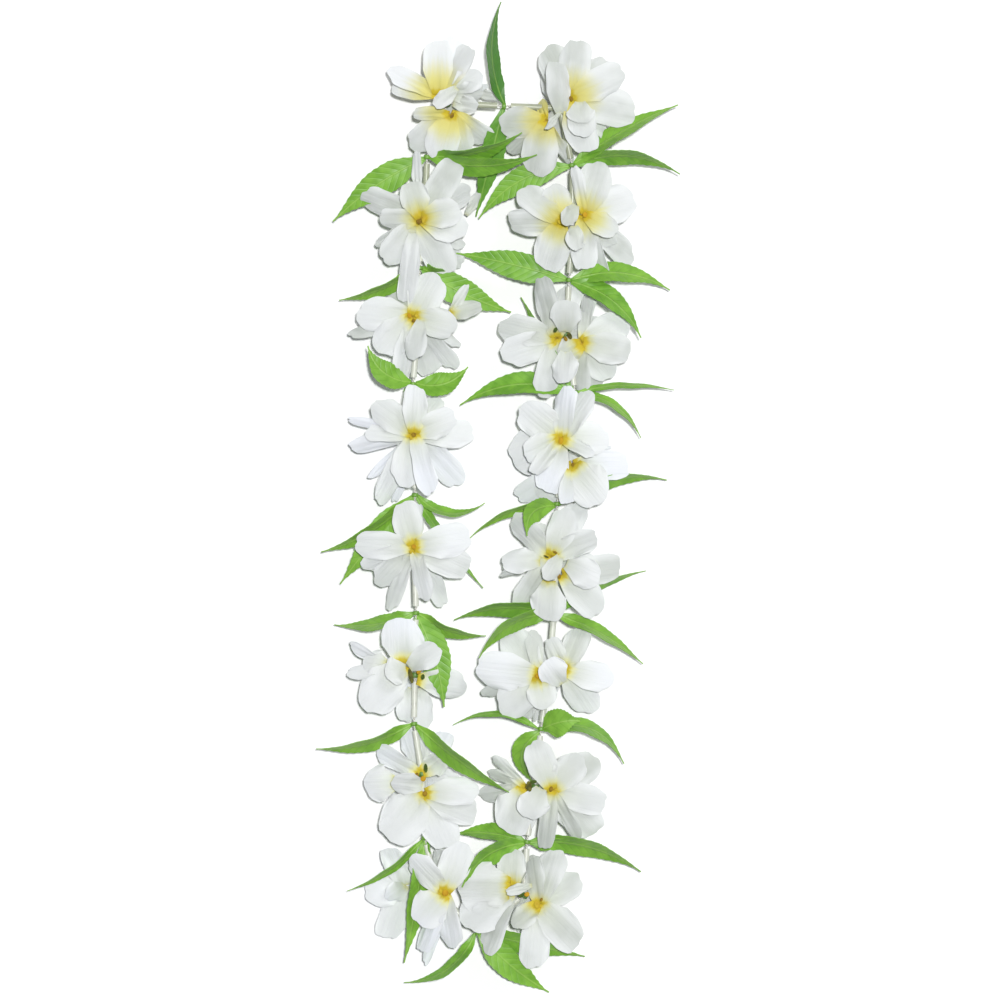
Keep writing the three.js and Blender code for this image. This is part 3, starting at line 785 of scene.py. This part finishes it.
def tip_shape(skew, wave, round_part):
    """Draws the corners of a petal's end back, so that it is round over that part of its
    length, a little to one side and not quite even."""

    def shifted(along, y):
        end = smooth(along, 0.3, 1.0)
        corner = 1 - math.sqrt(1 - TIP_ROUND * min(y * y, 1))
        uneven = TIP_SKEW * skew * y + TIP_UNEVEN[0] * math.sin(wave + 5 * y)
        uneven += TIP_UNEVEN[1] * math.sin(3 * wave + 9 * y)
        return along + (uneven - round_part * corner) * end

    return shifted


petal_finish = Finish(
    "pressed_petal", specular_ior_level=0.25, sheen_weight=0.15, sheen_roughness=0.4,
    subsurface_weight=0.2, subsurface_radius=(1.0, 1.0, 0.9), subsurface_scale=0.002,
)
# Reach, along and side are millimetres on the petal. Reach is from the throat, as dye spreads.
lay = petal_finish.node("Attribute", {"attribute_name": "lay"}, output=1)
along, across, tint = petal_finish.split(lay)
side = petal_finish.size_of(across)
streak_place = petal_finish.node("CombineXYZ", x=along * 0.05, y=across * 0.55, z=tint * 40)
streak = petal_finish.noise(streak_place, 1.0, 3.0)
place = petal_finish.object_place()
cloud = petal_finish.noise(place, 55.0, 2.0)
fine = petal_finish.noise(place, 1500.0, 2.0)
reach = along + (streak - 0.5) * 5 + side * 0.3
# Painted light and shade: a petal's white is painted from a shaded grey-green to near white, by a
# random tone and by its cluster's painted light and shade.
tone_and_shade = petal_finish.ramp(tint, -1.0, 1.0)
white = petal_finish.mix(tone_and_shade, (0.47, 0.5, 0.46), (0.79, 0.81, 0.82))
white = petal_finish.mix(petal_finish.ramp(cloud, 0.4, 0.65, 0.0, 0.4), white, (0.8, 0.82, 0.82))
# Painted highlight: the whitest petals are painted a bluish white.
white = petal_finish.mix(
    petal_finish.ramp(tint + 0.4 * cloud, 0.75, 1.2, 0.0, 0.45), white, (0.77, 0.8, 0.9)
)
# Painted shade: the inner part of each petal, towards the throat, is painted darker and greener.
white = petal_finish.mix(petal_finish.ramp(reach, 7.0, 28.0, 0.85, 0.0), white, (0.58, 0.62, 0.52))
# Painted highlight: the edges of each petal are painted lighter.
white = petal_finish.mix(petal_finish.ramp(side, 3.0, 7.5, 0.0, 0.45), white, (0.83, 0.85, 0.85))
dye = petal_finish.node("Attribute", {"attribute_name": "dye"}, output=2)
lemon = petal_finish.mix(tone_and_shade, (0.58, 0.57, 0.23), (0.75, 0.73, 0.27))
pale = petal_finish.mix(
    petal_finish.ramp(reach, dye * 0.45 + 6.5, dye + 13.0, 0.9, 0.0), white, lemon
)
pale = petal_finish.mix(
    petal_finish.ramp(reach, 5.0, dye * 1.5 + 5.5, 0.6, 0.0), pale, (0.62, 0.51, 0.06)
)
yellow = petal_finish.mix(petal_finish.ramp(reach, 5.0, 8.5, 0.97, 0.0), pale, (0.6, 0.47, 0.03))
brown = petal_finish.mix(petal_finish.ramp(reach, 0.8, 3.0, 0.7, 0.0), yellow, (0.46, 0.3, 0.03))
petal_finish.colour(brown)
petal_finish.rough(petal_finish.ramp(streak, 0.3, 0.7, 0.55, 0.75))
petal_finish.bump(streak + fine * 0.08, 0.0008, 0.6)


def throat_curve(start, tip, step, deep):
    """Up out of the throat, over the rim, and out to the tip. A petal further down the stack
    runs lower by its step."""
    level = Vector((tip.x - start.x, tip.y - start.y, 0))
    outward = level.normalized()
    top = start.z - step * STEP_DOWN
    foot = start + outward * FOOT_REACH
    foot.z = top - deep
    rim = start + outward * RIM_REACH
    rim.z = top + RIM_RISE
    over = start + level * BOW_PLACE
    over.z = (top + tip.z) / 2 + PETAL_BOW - step * BOW_STEP
    return foot, rim, over, tip


def make_petal(name, start, tip, width, step, deep, tint, mark):
    lean = math.acos(min(max(width / PETAL_FULL_WIDTH, MOST_LEAN), 1))
    half = width / math.cos(lean) * PIXEL * PETAL_SPARE / 2
    twist = lean * chance.choice((-1, 1)) + chance.uniform(-PETAL_TWIST, PETAL_TWIST)
    droop = chance.uniform(*PETAL_DROOP)
    wave = chance.uniform(0, 6.3)
    ripple = chance.uniform(*PETAL_RIPPLE)
    fold = chance.uniform(*PETAL_FOLD)

    def lift(along, y):
        cup = PETAL_CUP * (1 - smooth(along, 0.05, 0.45)) - droop * smooth(along, 0.45, 1.0)
        crease = -PETAL_CREASE * math.exp(-((y / CREASE_WIDTH) ** 2)) * smooth(along, 0.1, 0.3)
        folds = fold * math.sin(wave + 8 * y) * smooth(along, 0.1, 0.4) * (1.15 - along)
        edge = ripple * math.sin(wave + along * 8 + (2.1 if y > 0 else 0)) * y * y * along
        return cup * y * y * half + crease * (1 - along) + folds + edge

    def roll(along):
        return twist * smooth(along, 0.12, 0.6)

    curve = throat_curve(start, tip, step, deep)
    shortest, longest = ROUND_LIMITS
    round_part = min(max(ROUND_PART * half / (tip - start).length, shortest), longest)
    end = tip_shape(chance.uniform(-1, 1), wave, round_part)
    return lay_sheet(petal_blank, name, curve, 2 * half, roll, lift, tint, end, mark)


petal_blank = shape_blank("petal_blank", *PETAL_FACES, petal_outline)
for cluster, hub_x, hub_y in STOPS:
    if cluster not in BLOSSOMS:
        continue
    hub = at(hub_x, hub_y, STRING_HEIGHT)
    stars = []
    for number, ((x, y, height, *faint), rows) in enumerate(BLOSSOMS[cluster], start=1):
        throat = at(x, y, height)
        highest_first = sorted(rows, key=lambda row: -row[3])
        petals = []
        for step, (tip_x, tip_y, width, height, *own) in enumerate(highest_first):
            start = at(*own[0]) if own else throat
            deep = OUTER_DEPTH if own else THROAT_DEPTH
            tip = at(tip_x, tip_y, height)
            mark = OUTER_MARK if own else sum(faint)
            tint = chance.random() + CLUSTER_LIGHT_AND_SHADE[cluster]
            petals.append(
                make_petal(f"{cluster}_petal", start, tip, width, step, deep, tint, mark)
            )
        stars.append(join_pieces(petals, f"{cluster}_blossom_{number}"))
    all_rows = [row for _, rows in BLOSSOMS[cluster] for row in rows]
    widest = sorted(all_rows, key=lambda row: -row[2])
    petals = []
    for tip_x, tip_y, width, *_ in widest[:UNDER_COUNT]:
        tip = hub.lerp(at(tip_x, tip_y, 0), UNDER_REACH)
        tip.z = UNDER_TIP
        start = hub.copy()
        start.z -= UNDER_START
        over = hub + (tip - hub) * 0.5
        over.z = UNDER_MIDDLE
        curve = (start, start.lerp(over, 0.3), over, tip)
        half = width * UNDER_WIDTH * PIXEL / 2
        petals.append(
            lay_sheet(
                petal_blank, f"{cluster}_petal", curve, 2 * half, lambda along: 0.0,
                lambda along, y, half=half: UNDER_CUP * y * y * half * (1 - along),
                chance.random() + CLUSTER_LIGHT_AND_SHADE[cluster],
                tip_shape(chance.uniform(-1, 1), chance.uniform(0, 6), UNDER_ROUND), UNDER_MARK,
            )
        )
    stars.append(join_pieces(petals, f"{cluster}_blossom_under"))
    for piece in stars:
        thicken(piece, PETAL_THICKNESS)
        put_on(piece, petal_finish)
        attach(piece, "root")
    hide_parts(cluster)
bpy.data.objects.remove(petal_blank)

# The throat pins: short tapered pins of moulded and painted polyethylene, with a rounded head.
# They are pushed through the middle of a blossom into its cup and hold the stars on it.
PIN_LENGTH = 0.0025
PIN_SIDES = 11
PIN_ROUNDING = 0.14  # of the radius of its head
PIN_TURN = 0.5  # most, to either side
PIN_LEAN = 0.3  # most, to either side
# A pin is (x, y, half its width, half its length across, height of its foot, colour)
PINS = {
    "flower_left_1": [(452, 116, 2, 3, 25.2, "brown")],
    "flower_left_2": [(419, 222, 3, 2.5, 28.2, "brown"), (424, 219, 2, 4, 28.6, "gold")],
    "flower_left_3": [
        (414, 320, 2, 2, 27.4, "brown"), (409, 315, 2, 3, 27.2, "orange"),
        (417, 315, 2, 2, 27.2, "gold"),
    ],
    "flower_left_4": [(414, 434, 2.5, 2.5, 27.2, "brown"), (411, 438, 1.5, 2, 27, "gold")],
    "flower_left_5": [(414, 546, 2.5, 2.5, 27.4, "orange"), (411, 551, 1.5, 2, 27, "gold")],
    "flower_left_6": [
        (411, 676, 2.5, 8, 28.4, "olive"), (419, 671, 2.5, 4, 27.6, "orange"),
        (423, 677, 2, 3, 28, "green"),
    ],
    "flower_left_7": [
        (426, 769, 2, 5, 28.6, "green"), (417, 774, 2, 3, 27.6, "brown"),
        (423, 778, 3, 3, 27.6, "orange"), (425, 793, 2.5, 3, 27.2, "brown"),
    ],
    "flower_left_8": [(445, 892, 3.5, 3.5, 27.2, "orange"), (440, 890, 1.5, 2, 27, "gold")],
    "flower_right_1": [(571, 99, 2, 3, 27.4, "brown")],
    "flower_right_2": [(560, 222, 3, 3, 25.4, "gold"), (585, 215, 2.5, 3, 25.4, "orange")],
    "flower_right_3": [
        (569, 335, 2.5, 4, 28.6, "olive"), (565, 338, 2, 3, 28.2, "brown"),
        (555, 331, 2, 3, 26.6, "green"),
    ],
    "flower_right_4": [(561, 440, 2.5, 4, 27.4, "orange"), (573, 465, 1.5, 2, 23.4, "brown")],
    "flower_right_5": [
        (546, 557, 3, 1, 25.6, "olive"), (555, 553, 2.5, 1, 26, "brown"),
        (559, 576, 2, 4, 25.6, "brown"),
    ],
    "flower_right_6": [(564, 667, 3, 2, 24.4, "brown"), (538, 675, 3, 3, 26.4, "orange")],
    "flower_right_7": [
        (529, 785, 3, 6, 29, "olive"), (533, 781, 4, 2, 29.2, "green"),
        (551, 789, 2, 3, 26.2, "brown"),
    ],
    "flower_right_8": [
        (521, 895, 3, 2.5, 28.4, "green"), (527, 894, 3, 2.5, 28.4, "orange"),
        (537, 904, 3, 4, 25.4, "gold"), (541, 900, 1.5, 2, 25.2, "brown"),
    ],
}
pin_finishes = {
    "gold": plastic("gold_pin", (0.44, 0.3, 0.02), (0.58, 0.44, 0.04), 1.0),
    "orange": plastic("orange_pin", (0.44, 0.23, 0.012), (0.56, 0.34, 0.02), 1.0),
    "brown": plastic("brown_pin", (0.17, 0.1, 0.012), (0.32, 0.2, 0.02), 1.0),
    "olive": plastic("olive_pin", (0.06, 0.06, 0.012), (0.16, 0.15, 0.03), 1.0),
    "green": plastic("green_pin", (0.04, 0.07, 0.01), (0.09, 0.14, 0.02), 1.0),
}
bpy.ops.object.select_all(action="DESELECT")
bpy.ops.mesh.primitive_cone_add(
    vertices=PIN_SIDES, radius1=0.5, radius2=1, depth=1, end_fill_type="TRIFAN",
    location=(0, 0, 0.5),
)
pin_blank = bpy.context.object
head = pin_blank.modifiers.new("head", "BEVEL")
head.width = PIN_ROUNDING
head.segments = 3
bpy.ops.object.modifier_apply(modifier=head.name)
bpy.ops.object.shade_smooth()
bpy.ops.object.transform_apply(location=True, rotation=False, scale=False)
for cluster, rows in PINS.items():
    for number, (x, y, width, length, height, colour) in enumerate(rows, start=1):
        piece = copy_of(pin_blank, f"{cluster}_pin_{number}")
        size = Matrix.Diagonal((width * PIXEL, length * PIXEL, PIN_LENGTH, 1))
        turn = Matrix.Rotation(chance.uniform(-PIN_TURN, PIN_TURN), 4, "Z")
        lean = Matrix.Rotation(chance.uniform(-PIN_LEAN, PIN_LEAN), 4, "X")
        piece.data.transform(Matrix.Translation(at(x, y, height)) @ turn @ lean @ size)
        put_on(piece, pin_finishes[colour])
        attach(piece, "root")
bpy.data.objects.remove(pin_blank)

# The table is plain and white. The soft light is from the upper right, and a nearly upright
# lamp gives each edge its narrow shadow to the lower left.
TABLE_SIZE = 8
bpy.ops.object.select_all(action="DESELECT")
bpy.ops.mesh.primitive_plane_add(size=TABLE_SIZE, location=(0, 0, 0))
table = bpy.context.object
table.name = "table"
table_finish = Finish("white_table", roughness=0.9, specular_ior_level=0.1)
cloud = table_finish.noise(table_finish.object_place(), 3.0, 2.0)
table_finish.colour(table_finish.mix(cloud, (0.965, 0.965, 0.965), (0.98, 0.98, 0.98)))
put_on(table, table_finish)


def lamp(name, kind, place, energy, size, colour=(1, 1, 1)):
    light = bpy.data.lights.new(name, kind)
    light.energy = energy
    light.color = colour
    if kind == "SUN":
        light.angle = size
    else:
        light.size = size
    body = bpy.data.objects.new(name, light)
    bpy.context.scene.collection.objects.link(body)
    body.location = place
    body.rotation_euler = (-Vector(place)).to_track_quat("-Z", "Y").to_euler()


lamp("upright_lamp", "SUN", place=(0.15, 0.16, 3.0), energy=2.65, size=math.radians(3))
lamp(
    "key_softbox", "AREA", place=(5.25, 6.0, 8.25), energy=287, size=3.25,
    colour=(1.0, 0.99, 0.97),
)
world = bpy.data.worlds.new("studio")
world.use_nodes = True
sky = world.node_tree.nodes["Background"]
feed(sky.inputs["Color"], (0.9, 0.94, 1.0))
feed(sky.inputs["Strength"], 0.22)
bpy.context.scene.world = world
bpy.context.scene.view_settings.view_transform = "Standard"

# The camera looks straight down on the middle of the picture from far above, through a very
# long lens, because the shadows and sides of the pieces look alike from top to bottom.
LENS = 600
SENSOR = 36
IMAGE_SIZE = 1000  # pixels
camera = bpy.data.cameras.new("camera")
camera.lens = LENS
camera.sensor_width = SENSOR
camera_body = bpy.data.objects.new("camera", camera)
bpy.context.scene.collection.objects.link(camera_body)
distance = IMAGE_SIZE * PIXEL * LENS / SENSOR
view_centre = at(IMAGE_SIZE / 2, IMAGE_SIZE / 2, STRING_HEIGHT)
camera_body.location = view_centre + Vector((0, 0, distance))
bpy.context.scene.camera = camera_body
